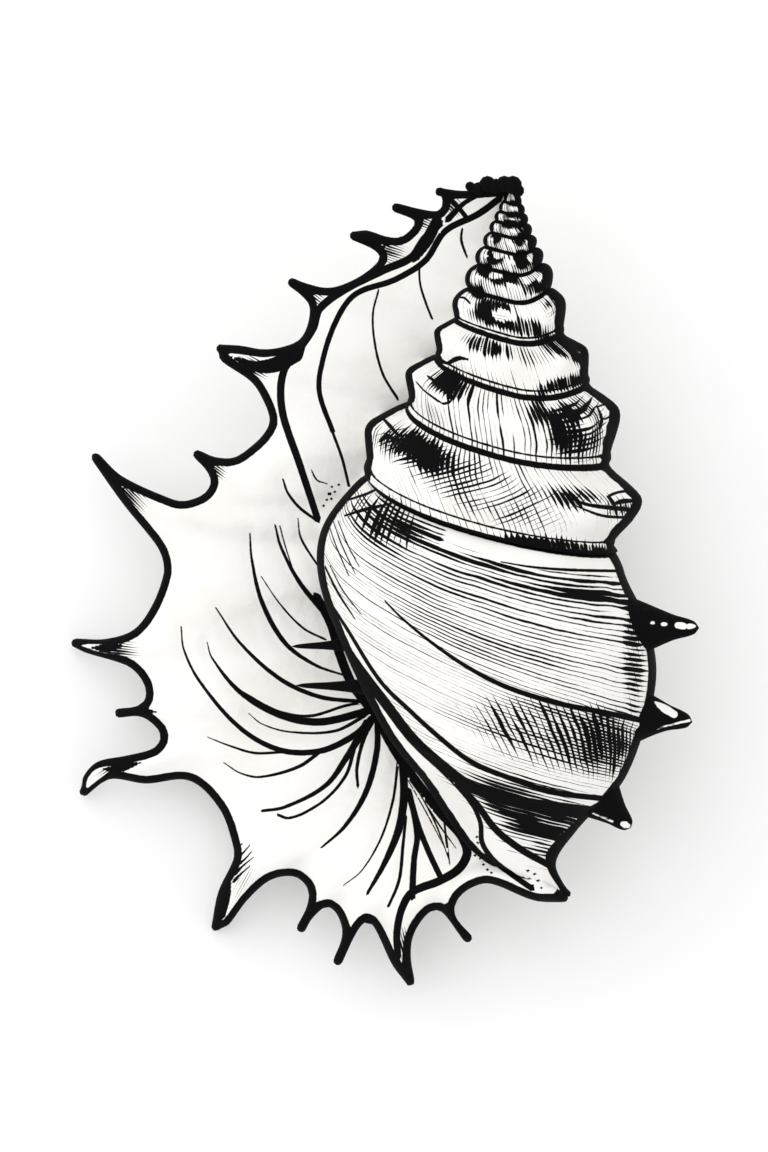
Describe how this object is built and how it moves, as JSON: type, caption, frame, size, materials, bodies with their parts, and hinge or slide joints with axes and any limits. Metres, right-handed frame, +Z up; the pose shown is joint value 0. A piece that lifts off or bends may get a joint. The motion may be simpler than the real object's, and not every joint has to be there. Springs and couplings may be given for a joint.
{
  "type": "murex shell",
  "caption": "Spiny sea snail shell with a tall stepped spire, swollen body whorl, short bent canal and a wide scalloped lip edged with spines, lying mouth side up.",
  "frame": {"origin": "middle of the shell's bounding box, on the surface it rests on", "axes": "+Y along the shell's axis towards the apex, +Z up towards the mouth side, -X out over the lip"},
  "size_m": [0.113, 0.1456, 0.0513],
  "materials": {
    "shell": "satin ivory with near-black bands, blotches and edges"
  },
  "bodies": {
    "root": {"murex_shell": "shell"}
  },
  "joints": []
}
